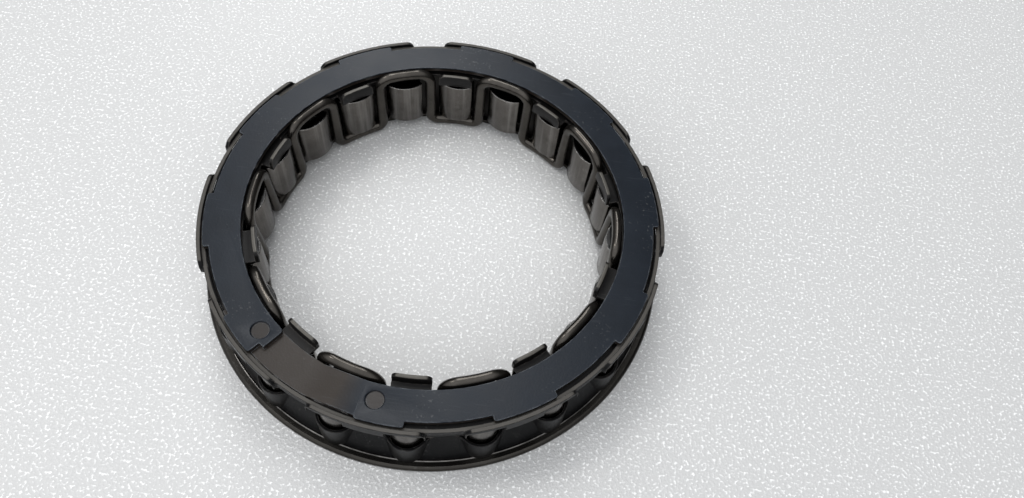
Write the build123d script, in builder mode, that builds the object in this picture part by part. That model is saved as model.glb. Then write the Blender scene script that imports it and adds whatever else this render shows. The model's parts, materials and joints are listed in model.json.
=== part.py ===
from build123d import *
from math import asin, cos, degrees, radians, sin
import os

# Sprag clutch: twenty sprags between a pressed outer cage and a serpentine inner cage, closed by a
# base ring below and a split, lapped end ring above. The axis of rotation is +Z, and the underside
# of the base ring lies on z = 0.

# ---- layout round the axis ----
tab_count = 10                      # outer tabs, one over each pair of sprags
sprag_count = 2 * tab_count
first_tab_angle = 264.1             # middle of one outer tab, from +X
sprag_pitch = 360 / sprag_count

# ---- sprags ----
pivot_radius = 48.3                 # each sprag rocks about its outer cam's centre
race_gap = 12.5                     # from the inner race to the outer race
outer_cam_radius = 3.7
inner_cam_radius = 6.8
cam_offset = 0.6                    # sideways shift of the inner cam, which makes the sprag wedge
inner_end_width = 9.2
inner_corner_radius = 0.5
neck_angle = 20.0                   # degrees past its own middle where the outer cam meets the waist
sprag_length = 12.5

# ---- base ring ----
flange_thickness = 1.55
flange_reach = 2.1                  # how far the flange stands out from the foot of the wall
flange_round = 0.75
base_thickness = 1.0                # of the thin part inside the wall
base_step_inset = 3.2               # from the foot of the wall in to that thin part

# ---- outer cage ----
sheet = 0.9
rim_inset = 0.25                    # the rim lies this far inside the outer race
waist_inset = 1.95                  # from the rim in to the waist, at the top of the skirt
skirt_lean = 2.6                    # from the waist out to the foot
skirt_cover = 6.5                   # height of each sprag that the skirt hides
pocket_clearance = 0.4              # round each outer cam
pocket_wall = 0.65
pocket_blend = 3.0                  # radius that runs each pocket into the wall
window_clearance = 0.3              # each side of an outer cam
ledge = 0.65                        # shelf inside the wall that carries the keeper ring
tab_angle = 26.0
tab_drop = 0.25                     # the tabs end this far under the top of the end ring
tab_corner = 2.0
tab_rail = 1.25                     # strip of each tab left above its windows

# ---- end ring ----
end_ring_thickness = 1.2
end_ring_width = 6.85
land_angle = 15.8                   # ten lands centre the ring inside the tabs
land_turn = 0.9                     # degrees from a tab's middle round to its land's
land_height = 1.3
land_fit = 0.45
land_corner = 0.6
lap_end_angle = 232.2               # outer part of the upper end
lap_nose_angle = 1.5                # the inner part reaches this much further
lap_nose_inset = 1.6                # from the ring's edge in to that part
lap_nose_corner = 0.8
lap_start_angle = 219.0             # the lower end, hidden under the upper one
joggle_start_angle = 248.5
joggle_angle = 13.0
lap_fit = 0.05
dimple_radius = 1.9
dimple_depth = 0.5
dimple_offset = 2.8                 # degrees from the upper end back to its dimple

# ---- keeper ring ----
keeper_clearance = 0.25             # above the sprags
keeper_thickness = 0.75
keeper_fit = 0.1                    # inside the wall
inner_tab_inset = 2.15              # from the bore in to the tabs turned up from it
inner_tab_sheet = 0.9
inner_tab_width = 8.4
inner_tab_corner = 1.4

# ---- inner cage ----
strip_width = 2.5                   # of the serpentine strip, along the cage
strip_thickness = 2.2               # of the strip, outwards
cage_gap = 0.3                      # inside the keeper ring
cage_lean = 0.75                    # the arches stand this far outside the bridges
cage_lift = 0.5                     # bridges above the underside
arch_rise = 0.65                    # arches above the top of the end ring
arch_corner = 3.2                   # centre line
bridge_corner = 2.0                 # centre line

# ---- energising spring ----
spring_gap = 1.8                    # outside the inner cage
spring_sheet = 0.4
spring_rail = 1.6
spring_leaf_width = 5.0
spring_leaf_drop = 1.2              # below the top of the sprags

# ---- heights that follow ----
sprag_bottom = 2 * flange_thickness
sprag_top = sprag_bottom + sprag_length
skirt_top = sprag_bottom + skirt_cover
keeper_bottom = sprag_top + keeper_clearance
keeper_top = keeper_bottom + keeper_thickness
lower_lap_bottom = keeper_top + lap_fit
end_ring_bottom = lower_lap_bottom + end_ring_thickness + lap_fit
end_ring_top = end_ring_bottom + end_ring_thickness
tab_top = end_ring_top - tab_drop

# ---- radii that follow ----
outer_race_radius = pivot_radius + outer_cam_radius
inner_race_radius = outer_race_radius - race_gap
rim_radius = outer_race_radius - rim_inset
rim_bore_radius = rim_radius - sheet
waist_radius = rim_radius - waist_inset
foot_radius = waist_radius + skirt_lean
flange_radius = foot_radius + flange_reach
base_step_radius = foot_radius - base_step_inset
pocket_radius = outer_cam_radius + pocket_clearance
land_radius = rim_radius - land_fit
end_ring_radius = land_radius - land_height
end_ring_bore_radius = end_ring_radius - end_ring_width
ring_middle_radius = (end_ring_bore_radius + end_ring_radius) / 2
keeper_radius = rim_bore_radius - keeper_fit
inner_tab_radius = end_ring_bore_radius - inner_tab_inset
arch_radius = end_ring_bore_radius - cage_gap - strip_thickness / 2
bridge_radius = arch_radius - cage_lean
spring_radius = arch_radius + strip_thickness / 2 + spring_gap

os.makedirs("parts", exist_ok=True)


def save(piece, name):
    """Label a finished piece and write it as one STEP file."""
    piece.label = name
    export_step(piece, f"parts/{name}.step")


def around(start, count):
    """Evenly spaced angles round the axis."""
    return [start + i * 360 / count for i in range(count)]


def on_axis(angle, radius, height):
    """Point at this angle, radius and height."""
    return Vector(radius * cos(radians(angle)), radius * sin(radians(angle)), height)


def radial_plane(angle):
    """Plane through the axis' foot that faces outwards at this angle, with its y axis up."""
    return Plane(origin=(0, 0, 0), x_dir=on_axis(angle + 90, 1, 0), z_dir=on_axis(angle, 1, 0))


tab_angles = around(first_tab_angle, tab_count)
land_angles = around(first_tab_angle + land_turn, tab_count)
arch_angles = around(first_tab_angle - sprag_pitch / 2, tab_count)
bridge_angles = around(first_tab_angle + sprag_pitch / 2, tab_count)
bar_angles = around(first_tab_angle, sprag_count)
sprag_angles = around(first_tab_angle - sprag_pitch / 2, sprag_count)
past_rim = flange_radius + sheet    # cuts and blanks run out to here


# ---- base ring: flat ring with a raised flange, rounded off at its edge ----
with BuildPart() as base_ring:
    with BuildSketch(Plane.XZ):
        with BuildLine():
            Polyline(
                (end_ring_bore_radius, 0),
                (flange_radius - flange_round / 3, 0),
                (flange_radius, flange_round / 3),
                (flange_radius, flange_thickness - flange_round),
                (flange_radius - flange_round / 3, flange_thickness - flange_round / 3),
                (flange_radius - flange_round, flange_thickness),
                (base_step_radius, flange_thickness),
                (base_step_radius, base_thickness),
                (end_ring_bore_radius, base_thickness),
                close=True,
            )
        make_face()
    revolve(axis=Axis.Z)
save(base_ring.part, "base_ring")


# ---- outer cage: waisted wall with pockets round the outer cams, windows and ten tabs ----
with BuildPart() as tab_blanks:
    with BuildSketch(*[radial_plane(angle) for angle in tab_angles]) as tab_face:
        with Locations((0, (tab_top + keeper_bottom) / 2)):
            Rectangle(2 * past_rim * sin(radians(tab_angle / 2)), tab_top - keeper_bottom)
        fillet(tab_face.vertices().group_by(Axis.Y)[-1], tab_corner)
    extrude(amount=past_rim)

with BuildPart() as outer_tabs:
    with BuildSketch(Plane.XY.offset(keeper_bottom)):
        Circle(rim_radius + sheet)
        Circle(rim_radius, mode=Mode.SUBTRACT)
    extrude(amount=tab_top - keeper_bottom)
    add(tab_blanks.part, mode=Mode.INTERSECT)

with BuildPart() as outer_cage:
    with BuildSketch(Plane.XY.offset(flange_thickness)) as scallops:
        Circle(waist_radius)
        with PolarLocations(pivot_radius, sprag_count, start_angle=sprag_angles[0]):
            Circle(pocket_radius + pocket_wall)
        fillet(scallops.vertices(), pocket_blend)
    extrude(amount=skirt_top - flange_thickness)
    with BuildSketch(Plane.XZ):
        with BuildLine():
            Polyline(
                (0, flange_thickness),
                (foot_radius, flange_thickness),
                (waist_radius, skirt_top),
                (rim_radius, keeper_bottom),
                (rim_radius, end_ring_bottom),
                (0, end_ring_bottom),
                close=True,
            )
        make_face()
    revolve(axis=Axis.Z)
    # the inside is the same form, one sheet thickness in
    with BuildSketch(Plane.XY.offset(flange_thickness)):
        Circle(waist_radius - sheet)
        with PolarLocations(pivot_radius, sprag_count, start_angle=sprag_angles[0]):
            Circle(pocket_radius)
    extrude(amount=skirt_top - flange_thickness, mode=Mode.SUBTRACT)
    with BuildSketch(Plane.XZ):
        with BuildLine():
            Polyline(
                (0, flange_thickness),
                (foot_radius - sheet, flange_thickness),
                (waist_radius - sheet, skirt_top),
                (rim_bore_radius - ledge, keeper_bottom),
                (rim_bore_radius, keeper_bottom),
                (rim_bore_radius, end_ring_bottom),
                (0, end_ring_bottom),
                close=True,
            )
        make_face()
    revolve(axis=Axis.Z, mode=Mode.SUBTRACT)
    add(outer_tabs.part)
    # windows that the sprags look out of
    window_top = tab_top - tab_rail
    with BuildSketch(*[radial_plane(angle) for angle in sprag_angles]):
        with Locations((0, (skirt_top + window_top) / 2)):
            Rectangle(2 * (outer_cam_radius + window_clearance), window_top - skirt_top)
    extrude(amount=past_rim, mode=Mode.SUBTRACT)
save(outer_cage.part, "outer_cage")


# ---- keeper ring: flat ring over the sprags, with ten tabs turned up inside its bore ----
with BuildPart() as inner_tab_blanks:
    with BuildSketch(*[radial_plane(angle) for angle in bridge_angles]) as inner_tab_face:
        with Locations((0, (end_ring_top + keeper_bottom) / 2)):
            Rectangle(inner_tab_width, end_ring_top - keeper_bottom)
        fillet(inner_tab_face.vertices().group_by(Axis.Y)[-1], inner_tab_corner)
    extrude(amount=past_rim)

with BuildPart() as inner_tabs:
    with BuildSketch(Plane.XY.offset(keeper_bottom)):
        Circle(inner_tab_radius)
        Circle(inner_tab_radius - inner_tab_sheet, mode=Mode.SUBTRACT)
    extrude(amount=end_ring_top - keeper_bottom)
    with BuildSketch(Plane.XY.offset(keeper_bottom)):
        Circle(end_ring_bore_radius + inner_tab_sheet)
        Circle(inner_tab_radius - inner_tab_sheet, mode=Mode.SUBTRACT)
    extrude(amount=keeper_thickness)
    add(inner_tab_blanks.part, mode=Mode.INTERSECT)

with BuildPart() as keeper_ring:
    with BuildSketch(Plane.XY.offset(keeper_bottom)):
        Circle(keeper_radius)
        Circle(end_ring_bore_radius, mode=Mode.SUBTRACT)
    extrude(amount=keeper_thickness)
    add(inner_tabs.part)
save(keeper_ring.part, "keeper_ring")


# ---- end ring: a flat split ring whose lower end is joggled under the upper one ----
def ring_sector(start, end, height, outer):
    """Flat piece of the end ring from one angle to another, out to this radius."""
    with BuildPart(mode=Mode.PRIVATE) as sector:
        with BuildSketch(Plane.XY.offset(height)):
            with BuildLine():
                inner_arc = CenterArc((0, 0), end_ring_bore_radius, start, end - start)
                outer_arc = CenterArc((0, 0), outer, start, end - start)
                Line(inner_arc @ 0, outer_arc @ 0)
                Line(inner_arc @ 1, outer_arc @ 1)
            make_face()
        extrude(amount=end_ring_thickness)
    return sector.part


def ring_section(angle, height):
    """Cross-section of the end ring at one angle, as wide as its lower end."""
    plane = Plane(
        origin=(0, 0, height), x_dir=on_axis(angle, 1, 0), z_dir=on_axis(angle - 90, 1, 0)
    )
    with BuildSketch(plane, mode=Mode.PRIVATE) as section:
        with Locations(((keeper_radius + end_ring_bore_radius) / 2, end_ring_thickness / 2)):
            Rectangle(keeper_radius - end_ring_bore_radius, end_ring_thickness)
    return section.sketch


joggle_end_angle = joggle_start_angle + joggle_angle
nose_end_angle = lap_end_angle + lap_nose_angle
with BuildPart() as end_ring:
    add(ring_sector(joggle_end_angle, 360 + lap_end_angle, end_ring_bottom, end_ring_radius))
    nose_radius = end_ring_radius - lap_nose_inset
    add(ring_sector(lap_end_angle - 1, nose_end_angle, end_ring_bottom, nose_radius))
    for angle in land_angles:
        land_start = max(angle - land_angle / 2, joggle_end_angle)
        land_end = min(angle + land_angle / 2, 360 + lap_end_angle)
        add(ring_sector(land_start, land_end, end_ring_bottom, land_radius))
    outer_corners = end_ring.edges().filter_by(Axis.Z).filter_by(
        lambda edge: on_axis(0, land_radius, 0).X - Vector(edge.center().X, edge.center().Y).length < 0.01
    )
    fillet(outer_corners, land_corner)
    nose_corner = on_axis(nose_end_angle, end_ring_bore_radius, end_ring_bottom)
    fillet(end_ring.edges().filter_by(Axis.Z).sort_by_distance(nose_corner)[0], lap_nose_corner)
    with BuildPart(mode=Mode.PRIVATE) as joggle:
        add(ring_section(joggle_start_angle, lower_lap_bottom))
        add(ring_section(joggle_end_angle, end_ring_bottom))
        loft(ruled=True)
    add(joggle.part)
    add(ring_sector(lap_start_angle, joggle_start_angle, lower_lap_bottom, keeper_radius))
    with BuildSketch(Plane.XY.offset(end_ring_top)):
        for angle in (lap_end_angle - dimple_offset, land_angles[0]):
            with Locations(on_axis(angle, ring_middle_radius, 0)):
                Circle(dimple_radius)
    extrude(amount=-dimple_depth, mode=Mode.SUBTRACT)
save(end_ring.part, "end_ring")


# ---- inner cage: a serpentine strip, arched over every second sprag and bridged under the rest ----
bridge_height = cage_lift + strip_width / 2
arch_height = end_ring_top + arch_rise - strip_width / 2
bar_foot_height = bridge_height + bridge_corner
bar_head_height = arch_height - arch_corner
arch_inset = degrees(asin(arch_corner / arch_radius))
bridge_inset = degrees(asin(bridge_corner / bridge_radius))


def strip_section(centre, outward, along):
    """Section of the strip at a point of its middle line, with its edges rounded in eight flats."""
    with BuildSketch(Plane(origin=centre, x_dir=outward, z_dir=along), mode=Mode.PRIVATE) as section:
        Rectangle(strip_thickness, strip_width)
        chamfer(section.vertices(), strip_thickness * 0.3)
    return section.sketch


with BuildPart() as cage_wave:
    for first_bar, bar_radius, height, corner, inset, way in (
        (-sprag_pitch / 2, arch_radius, arch_height, arch_corner, arch_inset, 1),
        (sprag_pitch / 2, bridge_radius, bridge_height, bridge_corner, bridge_inset, -1),
    ):
        run_radius = (bar_radius**2 - corner**2) ** 0.5
        for bar_angle, side in ((first_bar, 1), (first_bar + sprag_pitch, -1)):
            bend_centre = on_axis(bar_angle + side * inset, run_radius, height - way * corner)
            outward = on_axis(bar_angle + side * inset, 1, 0)
            add(strip_section(on_axis(bar_angle, bar_radius, bend_centre.Z), outward, (0, 0, 1)))
            revolve(axis=Axis(bend_centre, outward * -way * side), revolution_arc=90)
        start = first_bar + inset
        add(strip_section(on_axis(start, run_radius, height), on_axis(start, 1, 0), on_axis(start + 90, 1, 0)))
        revolve(axis=Axis.Z, revolution_arc=sprag_pitch - 2 * inset)
    for bar_angle, side in ((-sprag_pitch / 2, 1), (sprag_pitch / 2, -1)):
        bar_foot = on_axis(bar_angle, bridge_radius, bar_foot_height)
        bar_head = on_axis(bar_angle, arch_radius, bar_head_height)
        add(strip_section(bar_foot, on_axis(bar_angle - side * bridge_inset, 1, 0), (0, 0, 1)))
        add(strip_section(bar_head, on_axis(bar_angle + side * arch_inset, 1, 0), (0, 0, 1)))
        loft(ruled=True)

with BuildPart() as inner_cage:
    with PolarLocations(0, tab_count, start_angle=arch_angles[0]):
        add(cage_wave.part)
save(inner_cage.part, "inner_cage")


# ---- energising spring: a thin rail with a leaf standing between each pair of sprags ----
leaf_top = sprag_top - spring_leaf_drop
with BuildPart() as leaf_blanks:
    with BuildSketch(*[radial_plane(angle) for angle in bar_angles]):
        with Locations((0, (base_thickness + leaf_top) / 2)):
            Rectangle(spring_leaf_width, leaf_top - base_thickness)
    extrude(amount=past_rim)
    with BuildSketch(Plane.XY.offset(base_thickness)):
        Circle(past_rim)
    extrude(amount=spring_rail)

with BuildPart() as energising_spring:
    with BuildSketch(Plane.XY.offset(base_thickness)):
        Circle(spring_radius + spring_sheet)
        Circle(spring_radius, mode=Mode.SUBTRACT)
    extrude(amount=leaf_top - base_thickness)
    add(leaf_blanks.part, mode=Mode.INTERSECT)
save(energising_spring.part, "energising_spring")


# ---- sprags: dog-bone struts with a tight outer cam and a broad inner cam ----
inner_cam_depth = pivot_radius - inner_race_radius - inner_cam_radius
half_width = inner_end_width / 2


def inner_corner(side):
    """Corner of the inner end, on the inner cam."""
    rise = (inner_cam_radius**2 - (side * half_width - cam_offset) ** 2) ** 0.5
    return (side * half_width, -inner_cam_depth - rise)


with BuildPart() as sprag_form:
    with BuildSketch(Plane.XY.offset(sprag_bottom)) as sprag_face:
        with BuildLine():
            outer_cam = CenterArc((0, 0), outer_cam_radius, -neck_angle, 180 + 2 * neck_angle)
            lowest = (cam_offset, -inner_cam_depth - inner_cam_radius)
            ThreePointArc(inner_corner(1), lowest, inner_corner(-1))
            TangentArc(outer_cam @ 1, inner_corner(-1), tangent=outer_cam % 1)
            TangentArc(outer_cam @ 0, inner_corner(1), tangent=-(outer_cam % 0))
        make_face()
        fillet(sprag_face.vertices().sort_by(Axis.Y)[:2], inner_corner_radius)
    extrude(amount=sprag_length)

for number, angle in enumerate(sprag_angles, start=1):
    seat = Plane(origin=on_axis(angle, pivot_radius, 0), x_dir=on_axis(angle - 90, 1, 0))
    with BuildPart(seat) as sprag:
        add(sprag_form.part)
    save(sprag.part, f"sprag_{number:02d}")
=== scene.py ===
import bpy
import bmesh
import json
import math
from mathutils import Matrix, Vector


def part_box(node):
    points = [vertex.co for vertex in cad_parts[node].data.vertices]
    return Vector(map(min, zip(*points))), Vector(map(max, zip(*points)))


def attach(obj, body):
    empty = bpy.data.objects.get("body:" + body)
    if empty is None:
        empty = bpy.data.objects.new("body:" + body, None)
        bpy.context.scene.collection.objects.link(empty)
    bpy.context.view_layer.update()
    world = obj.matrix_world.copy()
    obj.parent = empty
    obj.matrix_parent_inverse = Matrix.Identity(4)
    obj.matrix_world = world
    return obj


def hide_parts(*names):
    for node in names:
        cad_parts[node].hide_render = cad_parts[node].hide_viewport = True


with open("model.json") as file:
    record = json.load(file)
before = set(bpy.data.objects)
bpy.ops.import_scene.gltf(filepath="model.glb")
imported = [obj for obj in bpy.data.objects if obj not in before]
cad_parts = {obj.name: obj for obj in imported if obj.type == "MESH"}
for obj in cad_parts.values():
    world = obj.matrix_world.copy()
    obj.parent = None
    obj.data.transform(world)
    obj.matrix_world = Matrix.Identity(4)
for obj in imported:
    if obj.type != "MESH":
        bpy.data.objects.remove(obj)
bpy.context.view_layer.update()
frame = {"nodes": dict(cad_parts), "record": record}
nodes = frame["nodes"]
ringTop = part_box("end_ring")[1][2]  # top face of the end ring
print("frame loaded", len(nodes), "nodes")

scene = bpy.context.scene
scene.view_settings.view_transform = "Standard"

cameraSettings = {
    "lens": 28.99,
    "sensorWidth": 36.0,
    "clipStart": 0.005,
    "clipEnd": 20,
    "place": (0.0184, -0.1017, 0.15775),  # from the middle of the end ring's top
    "right": (0.9887, 0.1288, 0.0771),
    "up": (-0.1500, 0.8480, 0.5080),
}


def makeCamera(settings):
    data = bpy.data.cameras.new("camera")
    data.lens = settings["lens"]
    data.sensor_width = settings["sensorWidth"]
    data.clip_start = settings["clipStart"]
    data.clip_end = settings["clipEnd"]
    camera = bpy.data.objects.new("camera", data)
    scene.collection.objects.link(camera)
    right = Vector(settings["right"]).normalized()
    back = right.cross(Vector(settings["up"])).normalized()
    up = back.cross(right)
    turn = Matrix((right, up, back)).transposed().to_4x4()
    place = Vector(settings["place"]) + Vector((0, 0, ringTop))
    camera.matrix_world = Matrix.Translation(place) @ turn
    scene.camera = camera


makeCamera(cameraSettings)


# each of the inputs is a plain value for its socket, or another node's socket to link to it
def addNode(tree, kind, inputs, **settings):
    node = tree.nodes.new(kind)
    for key, value in settings.items():
        setattr(node, key, value)
    for key, value in inputs.items():
        if isinstance(value, bpy.types.NodeSocket):
            tree.links.new(value, node.inputs[key])
        else:
            node.inputs[key].default_value = value
    return node


skySettings = {
    "colour": (0.95, 0.97, 1.0),
    "high": 1.40,  # strength straight towards the bright side
    "low": 0.08,  # strength at right angles to it and beyond
    "brightSide": (-0.24, -0.52, 0.80),
    "backdrop": 0.75,  # what shows behind the floor
}


def makeSky(settings):
    world = bpy.data.worlds.new("studio")
    scene.world = world
    world.use_nodes = True
    tree = world.node_tree
    brightSide = Vector(settings["brightSide"]).normalized()
    direction = addNode(tree, "ShaderNodeTexCoord", {}).outputs["Generated"]
    side = addNode(tree, "ShaderNodeVectorMath", {0: direction, 1: brightSide}, operation="DOT_PRODUCT")
    fall = addNode(tree, "ShaderNodeMapRange",
                   {"Value": side.outputs["Value"], "To Min": settings["low"], "To Max": settings["high"]},
                   interpolation_type="SMOOTHSTEP")
    seen = addNode(tree, "ShaderNodeLightPath", {}).outputs["Is Camera Ray"]
    strength = addNode(tree, "ShaderNodeMix",
                       {"Factor": seen, "A": fall.outputs["Result"], "B": settings["backdrop"]})
    sky = tree.nodes["Background"]
    sky.inputs["Color"].default_value = (*settings["colour"], 1)
    tree.links.new(strength.outputs["Result"], sky.inputs["Strength"])


makeSky(skySettings)

windowBack = {
    "name": "windowBack",
    "place": (-0.15, 0.53, 0.74),
    "width": 0.28,
    "height": 0.80,
    "power": 3.4,
    "colour": (0.98, 0.99, 1.0),
}
ceilingLeft = {
    "name": "ceilingLeft",
    "place": (-0.50, 0.06, 0.74),
    "width": 0.15,
    "height": 0.15,
    "power": 1.1,
    "colour": (1.0, 0.98, 0.95),
}


def makeLamp(settings):
    data = bpy.data.lights.new(settings["name"], "AREA")
    data.shape = "RECTANGLE"
    data.size = settings["width"]
    data.size_y = settings["height"]
    data.energy = settings["power"]
    data.color = settings["colour"]
    lamp = bpy.data.objects.new(settings["name"], data)
    scene.collection.objects.link(lamp)
    place = Vector(settings["place"])
    turn = (-place).to_track_quat("-Z", "Y").to_matrix().to_4x4()  # aimed at the origin
    lamp.matrix_world = Matrix.Translation(place) @ turn


makeLamp(windowBack)
makeLamp(ceilingLeft)
print("camera and lights made")


def calculate(tree, operation, *values):
    return addNode(tree, "ShaderNodeMath", dict(enumerate(values)), operation=operation).outputs[0]


# 0 where the value is start and 1 where it is full
def ramp(tree, value, start, full):
    inputs = {"Value": value, "From Min": start, "From Max": full}
    return addNode(tree, "ShaderNodeMapRange", inputs).outputs["Result"]


def addNoise(tree, place, scale, detail, roughness=0.5):
    inputs = {"Vector": place, "Scale": scale, "Detail": detail, "Roughness": roughness}
    return addNode(tree, "ShaderNodeTexNoise", inputs).outputs["Fac"]


def zPart(tree, vector):
    return addNode(tree, "ShaderNodeSeparateXYZ", {0: vector}).outputs["Z"]


def mixColour(tree, under, over, factor):
    if isinstance(under, tuple):
        under = (*under, 1)
    inputs = {"A": under, "B": (*over, 1), "Factor": factor}
    return addNode(tree, "ShaderNodeMix", inputs, data_type="RGBA").outputs["Result"]


def newGroup(name, values, masks):
    group = bpy.data.node_groups.new(name, "ShaderNodeTree")
    group.interface.new_socket("Vector", in_out="INPUT", socket_type="NodeSocketVector")
    for label, value in values.items():
        socket = group.interface.new_socket(label, in_out="INPUT", socket_type="NodeSocketFloat")
        socket.default_value = value
    for label in masks:
        group.interface.new_socket(label, in_out="OUTPUT", socket_type="NodeSocketFloat")
    start = group.nodes.new("NodeGroupInput").outputs
    end = group.nodes.new("NodeGroupOutput").inputs
    return group, start, end


def useGroup(tree, group, place, values):
    return addNode(tree, "ShaderNodeGroup", {"Vector": place, **values}, node_tree=group).outputs


# soft blotches and a fine grain: how a phosphate or oil film varies over sheet metal
filmPattern = {
    "detail": 5,
    "roughness": 0.6,
    "grainScale": 2600,
    "grainDetail": 2,
    "grainDepth": 0.00005,
}


def makeFilmGroup(pattern):
    group, start, end = newGroup("filmVariation", {"Scale": 90, "Contrast": 1}, ("Mask", "Grain"))
    broad = addNoise(group, start["Vector"], start["Scale"], pattern["detail"], pattern["roughness"])
    centred = calculate(group, "SUBTRACT", broad, 0.5)
    spread = calculate(group, "MULTIPLY_ADD", centred, start["Contrast"], 0.5)
    limited = addNode(group, "ShaderNodeClamp", {"Value": spread}).outputs["Result"]
    group.links.new(limited, end["Mask"])
    grain = addNoise(group, start["Vector"], pattern["grainScale"], pattern["grainDetail"])
    group.links.new(grain, end["Grain"])
    return group


# thin scratches that run in a few directions
scratchPattern = {
    "runs": ((25, 14), (118, 20), (71, 11)),  # direction in degrees, length to width
    "repeat": 150,  # along a scratch
    "repeatUp": 300,
    "detail": 1,
    "start": 0.70,
    "full": 0.78,
}


def makeScratchGroup(pattern):
    group, start, end = newGroup("fineScratches", {"Amount": 0.5}, ("Mask",))
    total = 0
    for direction, slimness in pattern["runs"]:
        mapping = addNode(group, "ShaderNodeMapping", {
            "Vector": start["Vector"],
            "Rotation": (0, 0, math.radians(direction)),
            "Scale": (pattern["repeat"], pattern["repeat"] * slimness, pattern["repeatUp"]),
        })
        noise = addNoise(group, mapping.outputs["Vector"], 1, pattern["detail"])
        total = calculate(group, "MAXIMUM", total, ramp(group, noise, pattern["start"], pattern["full"]))
    group.links.new(calculate(group, "MULTIPLY", total, start["Amount"]), end["Mask"])
    return group


# bare metal in patches along the edges, where the bevel node's rounded normal leaves the face's own; these
# light edge lines are partly real edge wear and partly a painted highlight along the edges
edgeWearAndHighlightPattern = {
    "reach": 0.00035,
    "samples": 6,
    "start": 0.98,
    "full": 0.88,
    "patchScale": 420,
    "patchDetail": 4,
    "patchStart": 0.35,
    "patchFull": 0.6,
}


def makeEdgeWearAndHighlightGroup(pattern):
    group, start, end = newGroup("wornEdges", {}, ("Mask",))
    rounded = addNode(group, "ShaderNodeBevel", {"Radius": pattern["reach"]}, samples=pattern["samples"])
    flat = addNode(group, "ShaderNodeNewGeometry", {})
    turn = addNode(group, "ShaderNodeVectorMath",
                   {0: rounded.outputs["Normal"], 1: flat.outputs["True Normal"]}, operation="DOT_PRODUCT")
    edge = ramp(group, turn.outputs["Value"], pattern["start"], pattern["full"])
    noise = addNoise(group, start["Vector"], pattern["patchScale"], pattern["patchDetail"])
    patches = ramp(group, noise, pattern["patchStart"], pattern["patchFull"])
    group.links.new(calculate(group, "MULTIPLY", edge, patches), end["Mask"])
    return group


# fine lines along Z, as grinding leaves them
bandPattern = {
    "stretch": (900, 900, 25),
    "detail": 3,
    "start": 0.45,
    "full": 0.75,
}


def makeBandGroup(pattern):
    group, start, end = newGroup("grindingLines", {}, ("Mask",))
    mapping = addNode(group, "ShaderNodeMapping", {"Vector": start["Vector"], "Scale": pattern["stretch"]})
    noise = addNoise(group, mapping.outputs["Vector"], 1, pattern["detail"])
    group.links.new(ramp(group, noise, pattern["start"], pattern["full"]), end["Mask"])
    return group


# scattered grains of dust, thicker in some places than in others
speckPattern = {
    "colour": (0.30, 0.30, 0.29),
    "layers": ((1500, 0.66, 0.72), (70, 0.50, 0.66)),  # scale, where the dust starts, where it is full
    "detail": 1,
}


def makeSpeckGroup(pattern):
    group, start, end = newGroup("dustSpecks", {"Amount": 0.5}, ("Mask",))
    total = start["Amount"]
    for scale, low, high in pattern["layers"]:
        noise = addNoise(group, start["Vector"], scale, pattern["detail"])
        total = calculate(group, "MULTIPLY", total, ramp(group, noise, low, high))
    group.links.new(total, end["Mask"])
    return group


filmGroup = makeFilmGroup(filmPattern)
scratchGroup = makeScratchGroup(scratchPattern)
edgeWearAndHighlightGroup = makeEdgeWearAndHighlightGroup(edgeWearAndHighlightPattern)
bandGroup = makeBandGroup(bandPattern)
speckGroup = makeSpeckGroup(speckPattern)
print("shared patterns made")

bluePhosphate = {
    "dark": (0.0015, 0.0040, 0.0085), "light": (0.0038, 0.0085, 0.016), "bare": (0.24, 0.26, 0.28),
    "lower": (0.026, 0.0198, 0.0153),  # the end of the ring that lies lower wears browner
    "lowerStart": -0.00006, "lowerFull": -0.0006,  # from the end ring's top
    "metallic": 0.05, "specular": 0.26, "roughLow": 0.27, "roughHigh": 0.38, "grain": 0.35,
    "blotchScale": 110, "blotchContrast": 1.6,
    "scratches": 0.03, "specks": 0.14, "bands": 0, "edgeWear": 0.8,
}
blackSheet = {
    "dark": (0.0015, 0.0017, 0.002), "light": (0.004, 0.004, 0.0045), "bare": (0.26, 0.24, 0.22),
    # painted light: the level tops of the rim and tabs are painted far lighter than the walls
    "ends": (0.075, 0.070, 0.063), "endsFrom": -0.0014,
    "metallic": 0.10, "specular": 0.12, "roughLow": 0.28, "roughHigh": 0.42, "grain": 0.25,
    "blotchScale": 150, "blotchContrast": 1.8,
    "scratches": 0.04, "specks": 0.1, "bands": 0, "edgeWear": 0.4,
}
darkSheet = {
    "dark": (0.005, 0.005, 0.0055), "light": (0.015, 0.014, 0.013), "bare": (0.32, 0.29, 0.26),
    # painted light: the keeper ring's level tops are painted far lighter than its walls
    "ends": (0.080, 0.075, 0.066), "endsFrom": -0.0006,
    "metallic": 0.30, "specular": 0.20, "roughLow": 0.30, "roughHigh": 0.44, "grain": 0.25,
    "blotchScale": 150, "blotchContrast": 1.6,
    "scratches": 0.04, "specks": 0.1, "bands": 0, "edgeWear": 0.5,
}
brownStrip = {
    "dark": (0.035, 0.032, 0.028), "light": (0.095, 0.086, 0.076), "bare": (0.36, 0.33, 0.30),
    "metallic": 0.92, "specular": 0.5, "roughLow": 0.17, "roughHigh": 0.29, "grain": 0.3,
    "blotchScale": 210, "blotchContrast": 1.5,
    "scratches": 0.08, "specks": 0.1, "bands": 0, "edgeWear": 0.4,
}
brownFlange = {
    "dark": (0.022, 0.020, 0.018), "light": (0.060, 0.056, 0.050), "bare": (0.50, 0.47, 0.43),
    "metallic": 0.97, "specular": 0.5, "roughLow": 0.17, "roughHigh": 0.27, "grain": 0.2,
    "blotchScale": 60, "blotchContrast": 1.2,
    "scratches": 0.05, "specks": 0.1, "bands": 0, "edgeWear": 0.5,
}
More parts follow.
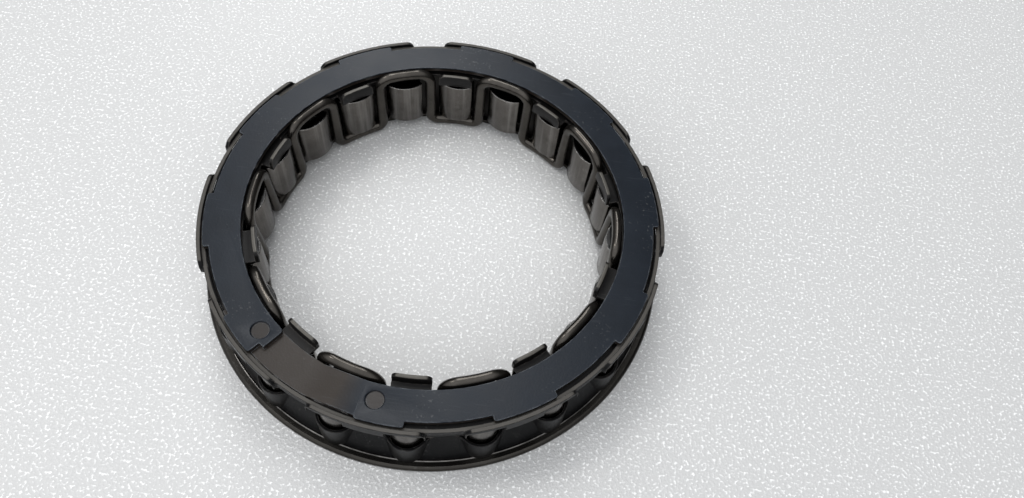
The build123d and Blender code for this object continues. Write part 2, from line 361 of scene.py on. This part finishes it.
# painted highlight: the hem is a far lighter, blotchier metal than the black cage, for a bright speckled
# line along the foot
brightHem = {
    "dark": (0.02, 0.019, 0.018), "light": (0.20, 0.19, 0.18), "bare": (0.6, 0.57, 0.53),
    "metallic": 1.0, "specular": 0.5, "roughLow": 0.14, "roughHigh": 0.26, "grain": 0.3,
    "blotchScale": 300, "blotchContrast": 2.2,
    "scratches": 0.1, "specks": 0.1, "bands": 0, "edgeWear": 0.2,
}
groundSteel = {
    "dark": (0.070, 0.064, 0.058), "light": (0.150, 0.139, 0.128), "bare": (0.70, 0.68, 0.65),
    # painted shade: the sprags' level end faces are painted near black
    "ends": (0.012, 0.012, 0.012), "endsFrom": -1,
    "metallic": 1.0, "specular": 0.5, "roughLow": 0.17, "roughHigh": 0.30, "grain": 0.1,
    "blotchScale": 260, "blotchContrast": 1.4,
    "scratches": 0.06, "specks": 0.1, "bands": 0.16, "edgeWear": 0.9,
}
# painted shadow: the plain dark metal of the sheet that stands in for shade behind the windows
lipSheet = {
    "dark": (0.003, 0.0032, 0.0036), "light": (0.009, 0.009, 0.0095), "bare": (0.10, 0.10, 0.10),
    "metallic": 0.10, "specular": 0.12, "roughLow": 0.4, "roughHigh": 0.5, "grain": 0.2,
    "blotchScale": 150, "blotchContrast": 1.4,
    "scratches": 0, "specks": 0, "bands": 0, "edgeWear": 0,
}
darkSpring = {
    "dark": (0.03, 0.028, 0.026), "light": (0.06, 0.056, 0.052), "bare": (0.3, 0.28, 0.26),
    "metallic": 0.9, "specular": 0.5, "roughLow": 0.3, "roughHigh": 0.45, "grain": 0.1,
    "blotchScale": 200, "blotchContrast": 1.2,
    "scratches": 0.05, "specks": 0, "bands": 0, "edgeWear": 0.3,
}
paintedTopShadingSlope = {"start": 0.90, "full": 0.97}  # how level a face is where it takes the painted top shading


def makeMetal(name, look):
    material = bpy.data.materials.new(name)
    material.use_nodes = True
    tree = material.node_tree
    place = addNode(tree, "ShaderNodeTexCoord", {}).outputs["Object"]
    blotches = {"Scale": look["blotchScale"], "Contrast": look["blotchContrast"]}
    film = useGroup(tree, filmGroup, place, blotches)
    colour = mixColour(tree, look["dark"], look["light"], film["Mask"])
    if "lower" in look:
        sunk = ramp(tree, zPart(tree, place), ringTop + look["lowerStart"], ringTop + look["lowerFull"])
        colour = mixColour(tree, colour, look["lower"], sunk)
    if look["bands"] > 0:
        bands = useGroup(tree, bandGroup, place, {})["Mask"]
        colour = mixColour(tree, colour, look["bare"], calculate(tree, "MULTIPLY", bands, look["bands"]))
    if "ends" in look:  # painted light and shade: level faces and cut edges from this height up are painted lighter than the walls on the sheets, darker on the sprags
        normal = addNode(tree, "ShaderNodeNewGeometry", {}).outputs["Normal"]
        upright = calculate(tree, "ABSOLUTE", zPart(tree, normal))
        level = ramp(tree, upright, paintedTopShadingSlope["start"], paintedTopShadingSlope["full"])
        above = calculate(tree, "GREATER_THAN", zPart(tree, place), ringTop + look["endsFrom"])
        colour = mixColour(tree, colour, look["ends"], calculate(tree, "MULTIPLY", level, above))
    scratches = useGroup(tree, scratchGroup, place, {"Amount": look["scratches"]})["Mask"]
    colour = mixColour(tree, colour, look["bare"], scratches)
    specks = useGroup(tree, speckGroup, place, {"Amount": look["specks"]})["Mask"]
    colour = mixColour(tree, colour, speckPattern["colour"], specks)
    # edge wear mixed with a painted highlight: light lines along the eased edges
    edgeWearAndHighlightMask = useGroup(tree, edgeWearAndHighlightGroup, place, {})["Mask"]
    colour = mixColour(tree, colour, look["bare"], calculate(tree, "MULTIPLY", edgeWearAndHighlightMask, look["edgeWear"]))
    rough = addNode(tree, "ShaderNodeMapRange",
                    {"Value": film["Mask"], "To Min": look["roughLow"], "To Max": look["roughHigh"]})
    bump = addNode(tree, "ShaderNodeBump", {
        "Strength": look["grain"],
        "Distance": filmPattern["grainDepth"],
        "Height": film["Grain"],
    })
    shader = tree.nodes["Principled BSDF"]
    shader.inputs["Metallic"].default_value = look["metallic"]
    shader.inputs["Specular IOR Level"].default_value = look["specular"]
    tree.links.new(colour, shader.inputs["Base Color"])
    tree.links.new(rough.outputs["Result"], shader.inputs["Roughness"])
    tree.links.new(bump.outputs["Normal"], shader.inputs["Normal"])
    return material


metals = {
    "end_ring": makeMetal("bluePhosphate", bluePhosphate),
    "outer_cage": makeMetal("blackSheet", blackSheet),
    "base_ring": makeMetal("brownFlange", brownFlange),
    "foot_hem": makeMetal("brightHem", brightHem),
    "keeper_lip": makeMetal("lipSheet", lipSheet),
    "keeper_ring": makeMetal("darkSheet", darkSheet),
    "inner_cage": makeMetal("brownStrip", brownStrip),
    "energising_spring": makeMetal("darkSpring", darkSpring),
    "sprag": makeMetal("groundSteel", groundSteel),
}
print("metals made")


def onAxis(angle, radius, height):
    turn = math.radians(angle)
    return Vector((radius * math.cos(turn), radius * math.sin(turn), height))


def turnMesh(mesh, angle, axis):
    matrix = Matrix.Rotation(math.radians(angle), 3, axis)
    bmesh.ops.rotate(mesh, cent=(0, 0, 0), matrix=matrix, verts=mesh.verts)


# degrees: facets that turn by less than this are shaded as one surface
smoothBelow = {"piece": 21, "trim": 40}


def addObject(mesh, name, metal, smoothAngle):
    mesh.normal_update()
    for edge in mesh.edges:
        edge.smooth = len(edge.link_faces) == 2 and edge.calc_face_angle() < math.radians(smoothAngle)
    for face in mesh.faces:
        face.smooth = True
    data = bpy.data.meshes.new(name)
    mesh.to_mesh(data)
    mesh.free()
    data.materials.append(metal)
    thing = bpy.data.objects.new(name, data)
    scene.collection.objects.link(thing)
    return thing


def finishPiece(mesh, name, metal, body, node):
    piece = addObject(mesh, name, metal, smoothBelow["piece"])
    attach(piece, body)
    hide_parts(node)


def addTrim(mesh, name, metal):
    trim = addObject(mesh, name, metal, smoothBelow["trim"])
    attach(trim, "outer_assembly")


# sheet and ground pieces: the solid's own form with its sharp edges eased
easedPieces = {
    "end_ring": {
        "name": "endRing", "ease": 0.00012, "segments": 2, "slot": "blue_phosphate",
        "dimples": (229.4, 265.0), "dimpleAt": 0.046575, "dimpleReach": 0.001957,
        "dimpleEase": 0.00035, "dimpleSegments": 4,
    },
    "keeper_ring": {"name": "keeperRing", "ease": 0.00020, "segments": 3, "slot": "gunmetal_sheet"},
    "outer_cage": {"name": "outerCage", "ease": 0.00014, "segments": 2, "slot": "gunmetal_sheet"},
    "base_ring": {"name": "baseRing", "ease": 0.00015, "segments": 2, "slot": "bronze_brown_sheet"},
    "sprag": {"name": "sprag", "ease": 0.00025, "segments": 3, "slot": "ground_steel"},
}
easing = {
    "weld": 0.000002,
    "flatBelow": 1,  # degrees
    "sharpFrom": 32,  # degrees
}


def onDimple(edge, settings):
    middles = [onAxis(angle, settings["dimpleAt"], ringTop) for angle in settings.get("dimples", ())]
    return any(all((vert.co - middle).length < settings["dimpleReach"] for vert in edge.verts)
               for middle in middles)


def roundOff(mesh, edges, ease, segments):
    bmesh.ops.bevel(mesh, geom=edges, offset=ease, segments=segments,
                    profile=0.5, affect="EDGES", material=-1, clamp_overlap=False)


def easeEdges(nodeName, settings, name, metal, body):
    mesh = bmesh.new()
    mesh.from_mesh(nodes[nodeName].data)
    bmesh.ops.remove_doubles(mesh, verts=mesh.verts, dist=easing["weld"])
    flatBelow = math.radians(easing["flatBelow"])
    bmesh.ops.dissolve_limit(mesh, angle_limit=flatBelow, verts=mesh.verts, edges=mesh.edges)
    sharpFrom = math.radians(easing["sharpFrom"])
    sharp = [edge for edge in mesh.edges
             if len(edge.link_faces) == 2 and edge.calc_face_angle() > sharpFrom]
    pressed = [edge for edge in sharp if onDimple(edge, settings)]
    if pressed:
        roundOff(mesh, pressed, settings["dimpleEase"], settings["dimpleSegments"])
        sharp = [edge for edge in sharp if edge.is_valid]
    roundOff(mesh, sharp, settings["ease"], settings["segments"])
    finishPiece(mesh, name, metal, body, nodeName)


bodyOf = {}
for body, members in frame["record"]["behaviour"]["bodies"].items():
    for member in members:
        bodyOf[member] = body
for nodeName in nodes:
    kind = "sprag" if nodeName.startswith("sprag_") else nodeName
    if kind in easedPieces:
        settings = easedPieces[kind]
        name = settings["name"] + nodeName[len(kind):].replace("_", "")
        easeEdges(nodeName, settings, name, metals[kind], bodyOf[nodeName])
    else:
        for slot in nodes[nodeName].material_slots:
            slot.material = metals[kind]
print("edges eased")


# the inner cage: one round-edged strip that runs up, over an arch, down and under a bridge
serpentine = {
    "waves": 10,
    "firstArch": 255.1,  # degrees from +X to the middle of one arch
    "width": 0.0027,
    "thickness": 0.0023,
    "archRadius": 0.04175,
    "bridgeRadius": 0.0410,
    "archCorner": 0.0032,
    "bridgeCorner": 0.0020,
    "sides": 20,
    "bendSteps": 9,
    "runSteps": 6,
    "weld": 0.00002,
}


def makeSerpentine(settings, metal):
    low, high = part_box("inner_cage")
    pitch = 180 / settings["waves"]
    archRadius = settings["archRadius"]
    archCorner = settings["archCorner"]
    archRun = high[2] - settings["width"] / 2
    bridgeRadius = settings["bridgeRadius"]
    bridgeCorner = settings["bridgeCorner"]
    bridgeRun = low[2] + settings["width"] / 2
    lean = math.degrees(math.asin(bridgeCorner / bridgeRadius))  # of the section at the foot of a bar
    twist = lean + math.degrees(math.asin(archCorner / archRadius))  # from there to the bar's head
    bar = settings["firstArch"] - pitch / 2

    mesh = bmesh.new()
    bmesh.ops.create_circle(mesh, segments=settings["sides"], radius=0.5)
    bmesh.ops.scale(mesh, vec=(settings["thickness"], settings["width"], 1), verts=mesh.verts)
    turnMesh(mesh, bar - lean, "Z")
    bmesh.ops.translate(mesh, vec=onAxis(bar, bridgeRadius, bridgeRun + bridgeCorner), verts=mesh.verts)
    section = list(mesh.verts) + list(mesh.edges)

    def spin(section, centre, axis, angle, steps):
        result = bmesh.ops.spin(mesh, geom=section, cent=centre, axis=axis,
                                angle=math.radians(angle), steps=steps)
        return result["geom_last"]

    def climb(section, start, end):
        edges = [item for item in section if isinstance(item, bmesh.types.BMEdge)]
        moved = bmesh.ops.extrude_edge_only(mesh, edges=edges)["geom"]
        verts = [item for item in moved if isinstance(item, bmesh.types.BMVert)]
        matrix = Matrix.Rotation(math.radians(twist), 3, "Z")
        bmesh.ops.translate(mesh, vec=end - start, verts=verts)
        bmesh.ops.rotate(mesh, cent=end, matrix=matrix, verts=verts)
        return verts + [item for item in moved if isinstance(item, bmesh.types.BMEdge)
                        and all(vert in verts for vert in item.verts)]

    arch = (archRadius, archCorner, archRun, -1)  # its corners' centres lie below the run
    bridge = (bridgeRadius, bridgeCorner, bridgeRun, 1)  # and here above it
    for radius, corner, run, way in (arch, bridge):
        foot = onAxis(bar, bridgeRadius, bridgeRun + bridgeCorner)
        head = onAxis(bar, archRadius, archRun - archCorner)
        section = climb(section, foot, head) if way < 0 else climb(section, head, foot)
        inset = math.degrees(math.asin(corner / radius))
        reach = (radius**2 - corner**2) ** 0.5
        centre = onAxis(bar + inset, reach, run + way * corner)
        section = spin(section, centre, onAxis(bar + inset, way, 0), 90, settings["bendSteps"])
        section = spin(section, (0, 0, 0), (0, 0, 1), pitch - 2 * inset, settings["runSteps"])
        bar += pitch
        centre = onAxis(bar - inset, reach, run + way * corner)
        section = spin(section, centre, onAxis(bar - inset, way, 0), 90, settings["bendSteps"])
    wave = list(mesh.verts) + list(mesh.edges) + list(mesh.faces)
    bmesh.ops.spin(mesh, geom=wave, cent=(0, 0, 0), axis=(0, 0, 1), angle=math.radians(360 - 2 * pitch),
                   steps=settings["waves"] - 1, use_duplicate=True)
    bmesh.ops.remove_doubles(mesh, verts=mesh.verts, dist=settings["weld"])
    bmesh.ops.recalc_face_normals(mesh, faces=mesh.faces)
    finishPiece(mesh, "innerCage", metal, "inner_cage", "inner_cage")


makeSerpentine(serpentine, metals["inner_cage"])
print("inner cage made")

# the foot of the outer cage: its edge is turned out and pressed down on the flange; its lighter metal
# paints a highlight line along the foot
footHem = {
    "radius": 0.05255,
    "tube": 0.00028,
    "sides": 10,
    "steps": 180,
}


def makeFootHem(settings, metal):
    mesh = bmesh.new()
    bmesh.ops.create_circle(mesh, segments=settings["sides"], radius=settings["tube"])
    turnMesh(mesh, 90, "X")
    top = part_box("base_ring")[1][2]
    bmesh.ops.translate(mesh, vec=(settings["radius"], 0, top), verts=mesh.verts)
    bmesh.ops.spin(mesh, geom=list(mesh.verts) + list(mesh.edges), cent=(0, 0, 0), axis=(0, 0, 1),
                   angle=math.radians(360), steps=settings["steps"], use_merge=True)
    bmesh.ops.recalc_face_normals(mesh, faces=mesh.faces)
    addTrim(mesh, "footHem", metal)


makeFootHem(footHem, metals["foot_hem"])
print("foot hem made")

# painted shadow: a thin dark sheet stands at the keeper ring's outer edge behind the windows, except under
# the lap, and shuts out the floor seen past it
keeperLip = {
    "edge": 0.05075,
    "thickness": 0.0001,
    "height": 0.0012,
    "drop": 0.00135,  # from the top of the end ring to the lip's own top
    "from": 263,  # degrees
    "sweep": 313,
    "steps": 150,
}


def makePaintedShadowSheet(settings, metal):
    mesh = bmesh.new()
    bmesh.ops.create_grid(mesh, x_segments=1, y_segments=1, size=0.5)
    bmesh.ops.scale(mesh, vec=(settings["thickness"], settings["height"], 1), verts=mesh.verts)
    turnMesh(mesh, 90, "X")
    middle = ringTop - settings["drop"] - settings["height"] / 2
    bmesh.ops.translate(mesh, vec=(settings["edge"], 0, middle), verts=mesh.verts)
    turnMesh(mesh, settings["from"], "Z")
    bmesh.ops.spin(mesh, geom=list(mesh.verts) + list(mesh.edges) + list(mesh.faces), cent=(0, 0, 0),
                   axis=(0, 0, 1), angle=math.radians(settings["sweep"]), steps=settings["steps"])
    bmesh.ops.recalc_face_normals(mesh, faces=mesh.faces)
    addTrim(mesh, "keeperLip", metal)


makePaintedShadowSheet(keeperLip, metals["keeper_lip"])
# the keeper lip printed here is the painted shadow sheet
print("keeper lip made")

floorSettings = {
    "size": 3.0,
    "colour": (0.605, 0.603, 0.596),
    "spark": (0.98, 0.98, 0.97),
    "sparkStart": 0.56,
    "sparkFull": 0.68,
    "grainScale": 1500,
    "grainDetail": 2,
    "grainDepth": 0.0004,
    "grainStrength": 0.5,
    "roughness": 0.36,
}


def makeFloor(settings):
    mesh = bmesh.new()
    bmesh.ops.create_grid(mesh, x_segments=1, y_segments=1, size=settings["size"] / 2)
    data = bpy.data.meshes.new("floor")
    mesh.to_mesh(data)
    mesh.free()
    floor = bpy.data.objects.new("floor", data)
    scene.collection.objects.link(floor)
    material = bpy.data.materials.new("paleFloor")
    material.use_nodes = True
    tree = material.node_tree
    place = addNode(tree, "ShaderNodeTexCoord", {}).outputs["Object"]
    grain = addNoise(tree, place, settings["grainScale"], settings["grainDetail"])
    sparks = ramp(tree, grain, settings["sparkStart"], settings["sparkFull"])
    bump = addNode(tree, "ShaderNodeBump", {
        "Strength": settings["grainStrength"],
        "Distance": settings["grainDepth"],
        "Height": grain,
    })
    shader = tree.nodes["Principled BSDF"]
    shader.inputs["Roughness"].default_value = settings["roughness"]
    colour = mixColour(tree, settings["colour"], settings["spark"], sparks)
    tree.links.new(colour, shader.inputs["Base Color"])
    tree.links.new(bump.outputs["Normal"], shader.inputs["Normal"])
    data.materials.append(material)


makeFloor(floorSettings)
print("floor made")
